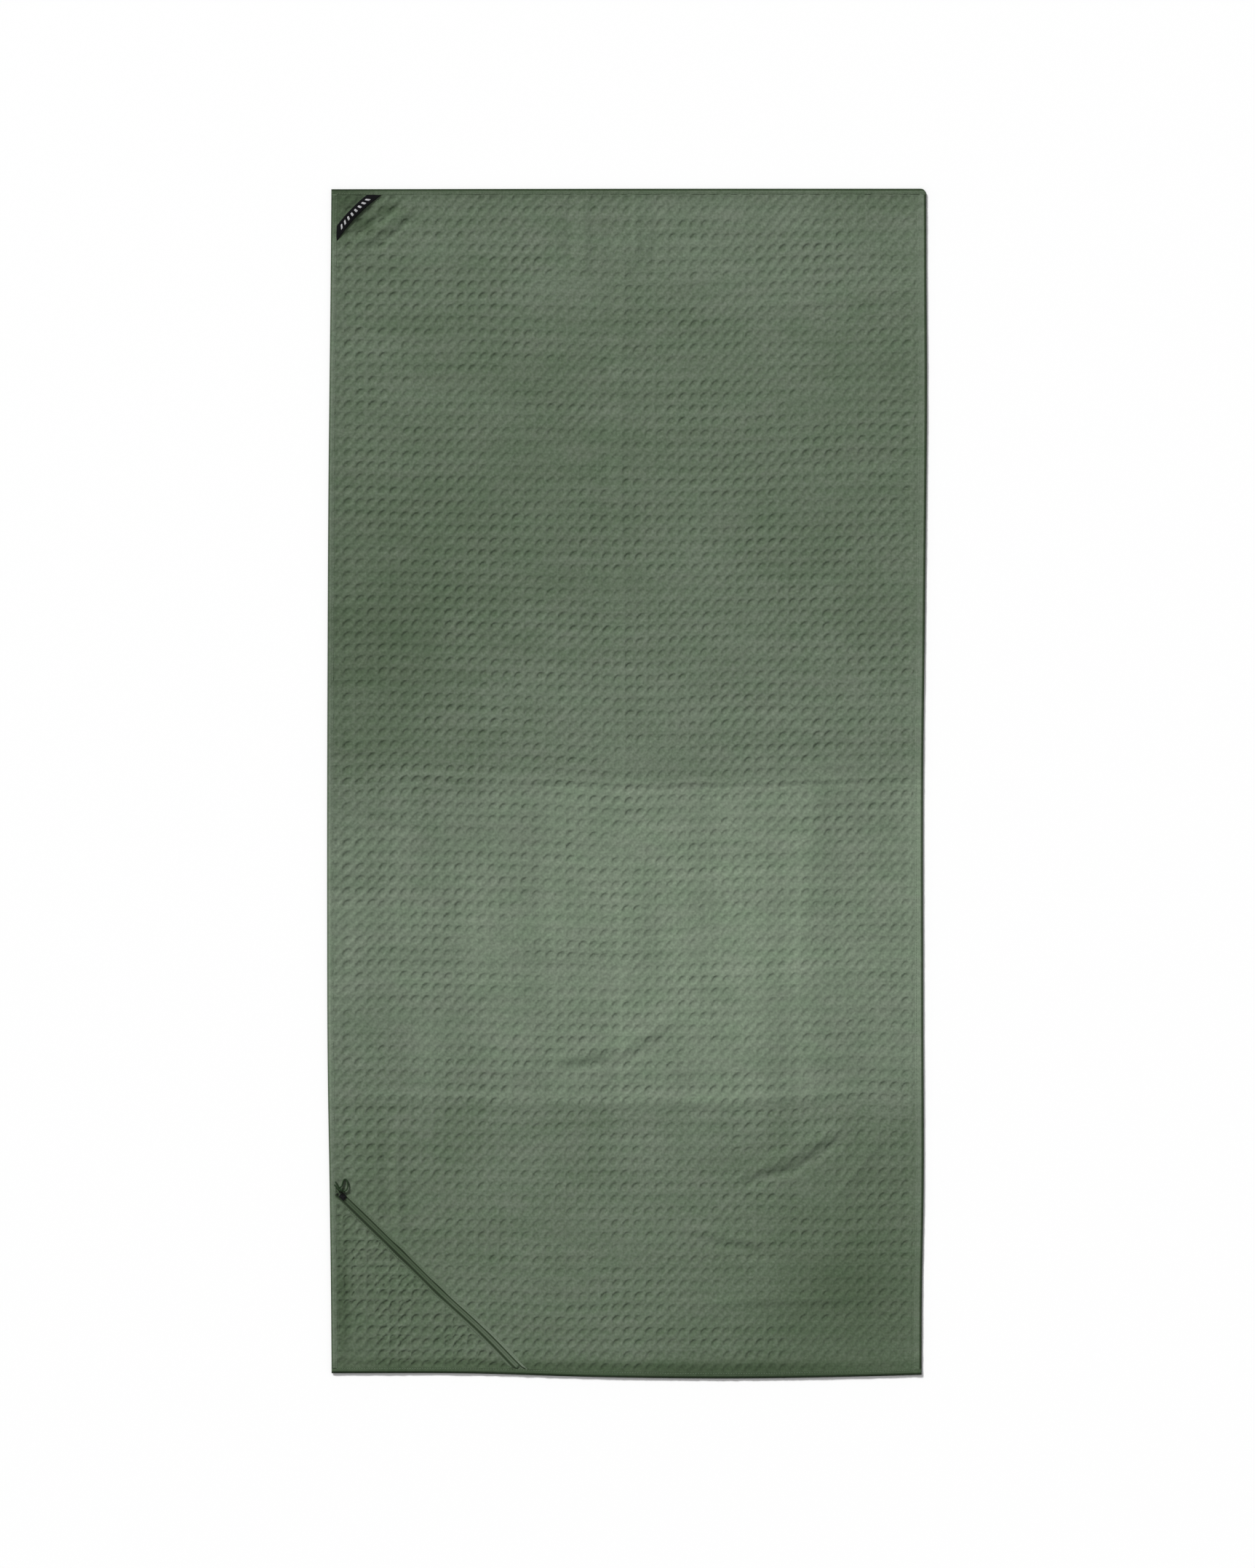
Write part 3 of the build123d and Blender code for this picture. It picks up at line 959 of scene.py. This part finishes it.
def shape_sheet(mesh, height_at):
    """Give a flat sheet its relief, its lying outline, and the facts that its material reads."""
    flat = np.empty(len(mesh.vertices) * 3)
    mesh.vertices.foreach_get("co", flat)
    flat = flat.reshape(-1, 3) / MM
    is_face = flat[:, 2] > 0.5
    height, pit = height_at(flat[:, 0], flat[:, 1], is_face)
    x, y = settle(flat[:, 0], flat[:, 1])
    mesh.vertices.foreach_set("co", (np.stack((x, y, height), 1) * MM).ravel())
    # Painted shade: the cloth is darker the deeper it lies in a dimple.
    tone = tone_and_shade_of(flat[:, 0], flat[:, 1]) * (1.03 - 0.13 * pit)
    mesh.attributes.new("tone", "FLOAT", "POINT").data.foreach_set("value", tone)
    mesh.polygons.foreach_set("use_smooth", [True] * len(mesh.polygons))
    normals = shaped_normals(flat, is_face, height_at)
    mesh.update()
    mesh.normals_split_custom_set_from_vertices(normals.tolist())


def cloth_piece(name, x_lines, y_lines, height_at, cut=None):
    """One piece of cloth with real relief on both sides."""
    points, faces = flat_sheet(odd(x_lines), odd(y_lines))
    mesh = write_mesh(name, points, faces)
    if cut:
        cut_sheet(mesh, *cut)
    shape_sheet(mesh, height_at)
    return new_object(name, mesh)


under_hem = 3.2  # the cloth goes this near to the towel's edge, inside the hem
border_step = 0.7  # from the hem's inner edge to the next grid line under it
border_gap = 0.9  # no grid line of the weave is nearer to the hem's inner edge
# Mesh lines through one cell, as shares of it: closest at the scoop's steep upper left walls
lines_across = np.array((-0.48, -0.42, -0.35, -0.26, -0.10, 0.09, 0.27, 0.40))
lines_up = -lines_across[::-1]


def with_borders(low, high, field_low, field_high, pitch, lines):
    """Grid lines across the towel: a few under each hem, and each cell's own lines between."""
    first, last = math.floor(field_low / pitch), math.ceil(field_high / pitch)
    cells = (np.arange(first, last + 1)[:, None] + lines).ravel() * pitch
    inner = cells[(cells > field_low + border_gap) & (cells < field_high - border_gap)]
    start = [low + under_hem, field_low - border_step, field_low]
    end = [field_high, field_high + border_step, high - under_hem]
    return np.concatenate((start, inner, end))


x_lines = with_borders(left, right, field_left, field_right, cell_x, lines_across)
y_lines = with_borders(bottom, top, field_bottom, field_top, cell_y, lines_up)
band_edges = (bottom, -480, -160, 160, 480, top)
band_names = (
    "cloth_bottom",
    "cloth_lower_middle",
    "cloth_fold",
    "cloth_upper_middle",
    "cloth_top",
)
cloth_bands = {}
for name, low, high in zip(band_names, band_edges, band_edges[1:]):
    inside = y_lines[(y_lines > low + 1) & (y_lines < high - 1)]
    ends = [[] if edge in (bottom, top) else [edge] for edge in (low, high)]
    rows = np.concatenate((ends[0], inside, ends[1]))
    if name == "cloth_fold":
        rows = dense_at_fold(rows)
    cut = (True, cut_gap) if name == "cloth_bottom" else None
    cloth_bands[name] = dress(cloth_piece(name, x_lines, rows, main_height, cut), waffle_cloth)

lining_reach = 14  # past the zip, under the main cloth
sheet_margin = 20  # the pocket's sheets start this much larger, before they are cut
pocket_reach_x = left + pocket_width + sheet_margin
pocket_reach_y = bottom + pocket_height + sheet_margin
pocket_x = x_lines[x_lines < pocket_reach_x]
pocket_y = y_lines[y_lines < pocket_reach_y]
pocket = cloth_piece("pocket_front_cloth", pocket_x, pocket_y, pocket_height_at, (False, -cut_gap))
dress(pocket, pocket_cloth)
lining_pitch = 6
lining_x = steps(left + under_hem, pocket_reach_x, lining_pitch)
lining_y = steps(bottom + under_hem, pocket_reach_y, lining_pitch)
lining_cut = (False, lining_reach)
lining = cloth_piece("pocket_lining_cloth", lining_x, lining_y, lining_height_at, lining_cut)
dress(lining, lining_cloth)

for name, body in (
    ("cloth_bottom", "lower_half"),
    ("cloth_lower_middle", "lower_half"),
    ("cloth_upper_middle", "upper_half"),
    ("cloth_top", "upper_half"),
):
    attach(cloth_bands[name], body)
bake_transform(cloth_bands["cloth_fold"])
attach(pocket, "lower_half")
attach(lining, "lower_half")
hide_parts("cloth_lower")
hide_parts("cloth_upper")
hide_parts("pocket_front")
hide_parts("pocket_lining")


# ---------------------------------------------------------------- hems
hem_crown = 3.15  # top of the turned edge
seam_inset = 1.2  # the stitching, from the hem's inner edge
seam_level = 2.95


def hem_section(width):
    """The turned edge, seen end on: round at its outer fold, drawn in at its stitching."""
    flat_start, flat_end = 2.0, width - 2.2
    top_points = [
        (flat_start + (flat_end - flat_start) * share, hem_crown + 0.1 * math.sin(math.pi * share))
        for share in (0, 0.15, 0.3, 0.6, 1)
    ]
    return (
        (3.4, 0.05), (1.6, 0.0), (0.5, 0.35), (0.0, 1.2), (0.12, 2.0), (0.8, 2.7), *top_points,
        (width - seam_inset, seam_level), (width - 0.6, seam_level + 0.1), (width, 2.95),
        (width + 0.25, 2.6), (width - 0.5, 1.3), (3.6, 1.25),
    )


def hem_tone_and_shade(x, y, across, shade, painted_shade_rim):
    """The hem's tone: the cloth's own, with painted shade at its outer fold and a painted highlight
    where it turns over.
    """
    rim = smooth_step(painted_shade_rim + 0.9, painted_shade_rim - 0.6, across)
    crest = 0.12 * ridge(across - painted_shade_rim - 1.6, 1.3)
    return {"tone": shade * tone_and_shade_of(x, y) * (1 - 0.70 * rim + crest)}


def hem_dent(x, y, across, height):
    """How deep the weave shows through a hem, inside its rim."""
    inner = smooth_step(3.0, 5.0, across) * smooth_step(2.4, 2.9, height)
    return 0.45 * waffle(x, y, cell_x, cell_y, weave_seed) * inner


def pucker(along, height, seed):
    """The small waves that the stitching draws into a hem."""
    wave = 0.16 * noise_along(along, 3.7, seed) + 0.26 * noise_along(along, 9, seed + 1)
    return wave * smooth_step(1.4, 3.0, height)


def squeeze(along, low, high, height):
    """Round off a hem's two ends."""
    radius = 1.8
    middle = 1.6
    end = np.minimum(along - low, high - along)
    open_share = np.sqrt(np.clip(1 - (1 - np.clip(end / radius, 0, 1)) ** 2, 0.04, 1))
    return middle + (height - middle) * open_share


def hem(name, edge, inward, width, shade, painted_shade_rim, seed, upright):
    """One hem. edge is its outer line, and inward the sign of the way in from there.

    An upright hem runs up the left or right side, in one length over the fold. The others run
    from side to side, with rounded ends.
    """
    pitch = 2.0
    if upright:
        stations = dense_at_fold(steps(field_bottom - 1, field_top + 1, pitch))
    else:
        ends = (left, left + 0.4, left + 0.9), (right - 0.9, right - 0.4, right)
        stations = np.concatenate((ends[0], steps(left + 1.8, right - 1.8, pitch), ends[1]))

    def point(along, across):
        """A point of the straight towel, from the distances along the hem and across it."""
        inside = edge + inward * across
        return (inside, along) if upright else (along, inside)

    def place(along, across, height):
        wander = 0.35 * noise_along(along, 33, seed + 2) * smooth_step(3, 8, across)
        dent = hem_dent(*point(along, across), across, height)
        height = height + pucker(along, height, seed) - dent
        if not upright:
            height = squeeze(along, left, right, height)
        return (*settle(*point(along, across + wander)), height)

    def facts(along, across, height):
        return hem_tone_and_shade(*point(along, across), across, shade, painted_shade_rim)

    mesh = strip(name, stations, hem_section(width), place, facts)
    return dress(new_object(name, mesh), hem_cloth)


hem_seeds = {"left": 71, "right": 74, "bottom": 77, "top": 80}
# Each hem's shade is painted light or shade: the left and right hems lit, the bottom and top ones
# shaded. Its dark rim is painted shade along the outer fold.
hem_left = hem(
    "hem_left", left, 1, field_left - left,
    shade=1.16, painted_shade_rim=1.7, seed=hem_seeds["left"], upright=True,
)
hem_right = hem(
    "hem_right", right, -1, right - field_right,
    shade=1.12, painted_shade_rim=3.2, seed=hem_seeds["right"], upright=True,
)
hem_bottom = hem(
    "hem_bottom_edge", bottom, 1, field_bottom - bottom,
    shade=0.72, painted_shade_rim=3.2, seed=hem_seeds["bottom"], upright=False,
)
hem_top = hem(
    "hem_top_edge", top, -1, top - field_top,
    shade=0.86, painted_shade_rim=2.8, seed=hem_seeds["top"], upright=False,
)
for piece, nodes in (
    (hem_left, ("hem_left_lower", "hem_left_upper")),
    (hem_right, ("hem_right_lower", "hem_right_upper")),
    (hem_bottom, ("hem_bottom",)),
    (hem_top, ("hem_top",)),
):
    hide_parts(*nodes)
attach(hem_bottom, "lower_half")
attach(hem_top, "upper_half")
for piece in (hem_left, hem_right):
    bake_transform(piece)


# ---------------------------------------------------------------- stitching
stitch_pitch = 3.4
stitch_length = 2.7
stitch_width = 0.62
stitch_height = 0.42
thread_rise = 0.05  # the thread's middle, above the seam's groove


def stitches(name, length, point_at, first=0.0):
    """A run of separate stitches. point_at gives the place and the level at a distance along."""
    points, faces = [], []
    share = np.array((-0.5, -0.3, 0.0, 0.3, 0.5))
    thick = np.array((0.35, 0.85, 1.0, 0.85, 0.35))
    around = np.linspace(0, 2 * math.pi, 6, endpoint=False)
    count = int(length / stitch_pitch)
    for k in range(count):
        middle = first + (k + 0.5) * length / count
        places = middle + share * stitch_length
        x, y, z = point_at(places)
        run = np.array((x[-1] - x[0], y[-1] - y[0]))
        run /= math.hypot(*run)
        side = np.cos(around) * stitch_width / 2
        rise = np.sin(around) * stitch_height / 2
        sunk = 0.22 * (1 - thick)
        ring_x = x[:, None] - run[1] * side * thick[:, None]
        ring_y = y[:, None] + run[0] * side * thick[:, None]
        ring_z = (z - sunk)[:, None] + rise * thick[:, None]
        faces += tube_faces(len(share), len(around), first=len(points) * len(share) * len(around))
        points.append(np.stack((ring_x.ravel(), ring_y.ravel(), ring_z.ravel()), 1))
    mesh = write_mesh(name, np.concatenate(points), faces)
    return dress(new_object(name, outward(mesh)), sewing_thread)


def hem_seam(inside, seed, upright):
    """The line of a hem's stitching. inside is its place across the towel, and seed the hem's."""
    beyond_rim = 6

    def point_at(along):
        across = np.full(len(along), inside)
        level = np.full(len(along), seam_level + thread_rise)
        x, y = (across, along) if upright else (along, across)
        dent = hem_dent(x, y, beyond_rim, level)
        return (*settle(x, y), level + pucker(along, level, seed) - dent)

    return point_at


seam_left = field_left - seam_inset
seam_right = field_right + seam_inset
seam_bottom = field_bottom - seam_inset
seam_top = field_top + seam_inset
side_length = field_top - field_bottom + 2 * seam_inset
end_length = seam_right - seam_left
stitches_left, stitches_right, stitches_bottom, stitches_top = (
    stitches(f"stitches_{name}", length, hem_seam(inside, hem_seeds[name], upright), first)
    for name, length, inside, upright, first in (
        ("left", side_length, seam_left, True, seam_bottom),
        ("right", side_length, seam_right, True, seam_bottom),
        ("bottom", end_length, seam_bottom, False, seam_left),
        ("top", end_length, seam_top, False, seam_left),
    )
)
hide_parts("hem_stitching_lower")
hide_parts("hem_stitching_upper")
for run in (stitches_left, stitches_right):
    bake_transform(run)
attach(stitches_bottom, "lower_half")
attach(stitches_top, "upper_half")


# ---------------------------------------------------------------- zip
tape_section = (
    (0.07, 2.42), (0.07, 2.62), (0.5, 2.78), (1.4, 2.86), (2.6, 2.80), (3.2, 2.78), (3.8, 2.78),
    (4.6, 2.78), (7.2, 2.74), (7.5, 2.55), (7.2, 2.42), (5.0, 2.40),
)
lip_section = (
    (4.45, 2.86), (4.10, 3.05), (4.02, 3.45), (4.25, 3.86), (4.75, 4.02), (5.3, 3.90), (5.9, 3.55),
    (6.4, 3.28), (6.9, 3.25), (7.5, 3.38), (8.1, 3.20), (8.3, 2.7), (8.0, 2.2), (7.0, 2.80),
)
lip_seam = 6.7
lip_seam_level = 3.34
zip_tuck = 0.9  # how far the zip's strips reach in under the hems
seam_clear = 4.5  # the zip's stitching starts this far from the hems
held_level = 2.2  # the hems hold down what stands above this


def zip_span(across):
    """Where a line beside the zip starts at the left hem and ends at the bottom hem."""
    start = -across * zip_across[0] / zip_along[0]
    end = zip_length - across * zip_across[1] / zip_along[1]
    return start, end


def zip_strip(name, section, side, look, shade, painted_shade_edge, waver=0.0, seed=90):
    """A strip that runs the length of the zip, on one side of its middle.

    Its dark edge, a pair of distances across it, says where the painted shade along its inner edge
    ends. waver is how much it wanders.
    """
    stations = steps(0, zip_length, 1.6)

    def place(along, across, height):
        start, end = zip_span(side * across)
        share = along / zip_length
        along = (start - zip_tuck) * (1 - share) + (end + zip_tuck) * share
        wander = waver * noise_along(along, 24, seed) * smooth_step(2, 4, across)
        rise = waver * 0.3 * noise_along(along, 13, seed + 1) * smooth_step(2.8, 4, height)
        x, y = at_zip(along, side * (across + wander))
        held_down = smooth_step(6, 1, np.minimum(along - start, end - along))
        height = height + rise - held_down * 0.62 * np.maximum(height - held_level, 0)
        return (*settle(x, y), height)

    def facts(stations, across, height):
        # Painted shade: dark where the tape runs in under a rolled edge and on the rolled edge's
        # inner wall, and along the zip's middle between the two tapes. The strip also grows lighter
        # towards its lower end.
        edge = smooth_step(2.2, 3.0, across) * smooth_step(*painted_shade_edge, across)
        middle = ridge(across, 0.35)
        lighter = 0.62 + 0.36 * smooth_step(0.3, 0.9, stations / zip_length)
        return {"tone": shade * lighter * (1 - 0.76 * edge - 0.3 * middle)}

    return dress(new_object(name, strip(name, stations, section, place, facts)), look)


zip_pieces = []
# The upper rolled edge gets a painted highlight and the lower one painted shade, by their shade;
# each dark edge is painted shade.
for side_name, side, shade, painted_shade_edge in (
    ("upper", 1, 1.12, (4.7, 4.1)),
    ("lower", -1, 0.86, (6.2, 4.6)),
):
    tape = zip_strip(
        f"zip_tape_cloth_{side_name}", tape_section, side, tape_cloth, 1.0, (6.2, 4.6)
    )
    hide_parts(f"zip_tape_{side_name}")
    lip = zip_strip(
        f"zip_rolled_edge_{side_name}", lip_section, side, lip_cloth, shade, painted_shade_edge, 0.45, 92
    )
    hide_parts(f"zip_welt_{side_name}")

    def seam_at(along, side=side):
        x, y = at_zip(along, np.full(len(along), side * lip_seam))
        return (*settle(x, y), np.full(len(along), lip_seam_level))

    seam_start, seam_end = zip_span(side * lip_seam)
    seam_length = seam_end - seam_start - 2 * seam_clear
    seam = stitches(f"zip_stitches_{side_name}", seam_length, seam_at, seam_start + seam_clear)
    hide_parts(f"zip_stitching_{side_name}")
    zip_pieces += [tape, lip, seam]


def coil(name, side):
    """One half of the zip's nylon coil, wound along the edge of its tape."""
    pitch = 1.5
    off_middle, half_width = 1.42, 0.62
    level, half_height = 1.88, 0.34
    turns = int(zip_length / pitch)
    per_turn = 10
    stations = turns * per_turn
    turn = np.linspace(0, 2 * math.pi * turns, stations)
    along = np.linspace(0.5, zip_length - 0.5, stations) + 0.22 * np.sin(2 * turn)
    across = off_middle + half_width * np.cos(turn)
    height = level + half_height * np.sin(turn)
    around = np.linspace(0, 2 * math.pi, 5, endpoint=False)
    thick = 0.2
    out_across = np.cos(turn)[:, None] * np.cos(around)
    out_height = np.sin(turn)[:, None] * np.cos(around)
    ring_along = along[:, None] + thick * np.sin(around)
    ring_across = side * (across[:, None] + thick * out_across)
    ring_height = height[:, None] + thick * out_height
    x, y = settle(*at_zip(ring_along.ravel(), ring_across.ravel()))
    points = np.stack((x, y, ring_height.ravel()), 1)
    mesh = write_mesh(name, points, tube_faces(stations, len(around)))
    return dress(new_object(name, outward(mesh)), coil_nylon)


for side_name, side in (("upper", 1), ("lower", -1)):
    piece = coil(f"zip_coil_turns_{side_name}", side)
    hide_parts(f"zip_coil_{side_name}")
    zip_pieces.append(piece)
for piece in zip_pieces:
    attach(piece, "lower_half")

for node in ("zip_top_stops", "zip_slider", "pull_ring"):
    dress(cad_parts[node], black_enamel)
dress(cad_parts["zip_bottom_stop"], green_enamel)


# ---------------------------------------------------------------- hanging loop
def loop_arc():
    """Middle and radius of the arc that the tape's own middle follows."""
    chord = loop_high_end - loop_low_end
    length = math.hypot(*chord)
    run = chord / length
    outward_side = np.array((-run[1], run[0]))
    radius = length**2 / (8 * loop_bow) + loop_bow / 2
    centre = (loop_low_end + loop_high_end) / 2 - outward_side * (radius - loop_bow)
    return centre, radius


loop_centre, loop_radius = loop_arc()
loop_tuck = 0.6  # how far the tape reaches in under the hems
loop_end_level = 2.15  # the tape's middle at its sewn ends
loop_rise = 2.45  # half-way between them it stands this much higher, clear of the cloth
loop_cup = 0.25  # its two edges droop
mark_count = 8
marks_start = 0.16  # the first bar, as a share of the tape's length


def at_loop(share, across, above):
    """A point on the tape: share of its length, distance across it and height above its middle."""
    radius = loop_radius + across
    to_left = loop_centre[0] - field_left + loop_tuck
    to_top = field_top + loop_tuck - loop_centre[1]
    start = math.pi - np.arccos(np.clip(to_left / radius, -1, 1))
    end = math.pi - np.arcsin(np.clip(to_top / radius, -1, 1))
    angle = start + (end - start) * share
    x = loop_centre[0] + radius * np.cos(angle)
    y = loop_centre[1] + radius * np.sin(angle)
    arch = np.sin(math.pi * np.clip(share, 0, 1)) ** 0.8
    cup = loop_cup * (across / (loop_width / 2)) ** 2 * arch
    z = loop_end_level + loop_rise * arch - cup + above
    return (*settle(x, y), z)


tape_ring = (
    (-6.25, -0.15), (-6.1, -0.42), (-3, -0.5), (0, -0.5), (3, -0.5), (6.1, -0.42), (6.25, -0.15),
    (6.25, 0.2), (6.05, 0.46), (5.2, 0.42), (4.1, 0.44), (3, 0.46), (2, 0.47), (1, 0.47),
    (0, 0.47), (-1, 0.47), (-2, 0.47), (-3, 0.46), (-4.1, 0.44), (-5.2, 0.42), (-6.05, 0.46),
    (-6.25, 0.2),
)
mark_ring = (
    (-2.1, -0.1), (2.1, -0.1), (2.35, 0.1), (1.9, 0.28), (1, 0.32), (0, 0.33), (-1, 0.32),
    (-1.9, 0.28), (-2.35, 0.1),
)


def loop_half(name, low, high):
    """Half of the hanging loop's tape, with its row of plain woven bars."""
    shares = steps(low, high, 0.007)
    ring = np.array(tape_ring)
    sections = np.tile(ring, (len(shares), 1))
    x, y, z = at_loop(np.repeat(shares, len(ring)), sections[:, 0], sections[:, 1])
    points = [np.stack((x, y, z), 1)]
    faces = tube_faces(len(shares), len(ring))
    tape_face_count = len(faces)
    tape_top = 0.46
    bar = np.array(mark_ring)
    bar_shares = np.array((-0.021, -0.018, -0.012, -0.006, 0.0, 0.006, 0.012, 0.018, 0.021))
    swell = np.array((0.6, 1.0, 1.0, 1.0, 1.0, 1.0, 1.0, 1.0, 0.6))
    for k in range(mark_count):
        middle = marks_start + (1 - 2 * marks_start) * k / (mark_count - 1)
        if not low < middle < high:
            continue
        first = sum(len(p) for p in points)
        x, y, z = at_loop(
            np.repeat(middle + bar_shares, len(bar)),
            np.outer(swell, bar[:, 0]).ravel(),
            tape_top + np.tile(bar[:, 1], len(bar_shares)),
        )
        points.append(np.stack((x, y, z), 1))
        faces += tube_faces(len(bar_shares), len(bar), first)
    mesh = outward(write_mesh(name, np.concatenate(points), faces))
    piece = dress(new_object(name, mesh), loop_black, loop_thread)
    looks = [0] * tape_face_count + [1] * (len(faces) - tape_face_count)
    mesh.polygons.foreach_set("material_index", looks)
    return piece


loop_run = (loop_high_end - loop_low_end) / math.dist(loop_high_end, loop_low_end)
loop_left = loop_half("hanging_loop_left", 0.0, 0.5)
loop_right = loop_half("hanging_loop_right", 0.5, 1.0)
for piece, end, run in (
    (loop_left, loop_low_end, loop_run),
    (loop_right, loop_high_end, -loop_run),
):
    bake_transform(piece)
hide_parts("hang_loop")
dress(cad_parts["hang_loop_ends"], loop_black)


# ---------------------------------------------------------------- what each cloth is
towel_width = (right - left) * MM
for name, low, high in zip(band_names, band_edges, band_edges[1:]):
    length = (high - low) * MM
    area = towel_width * length
    if name == "cloth_bottom":
        area -= pocket_width * pocket_height / 2 * MM * MM
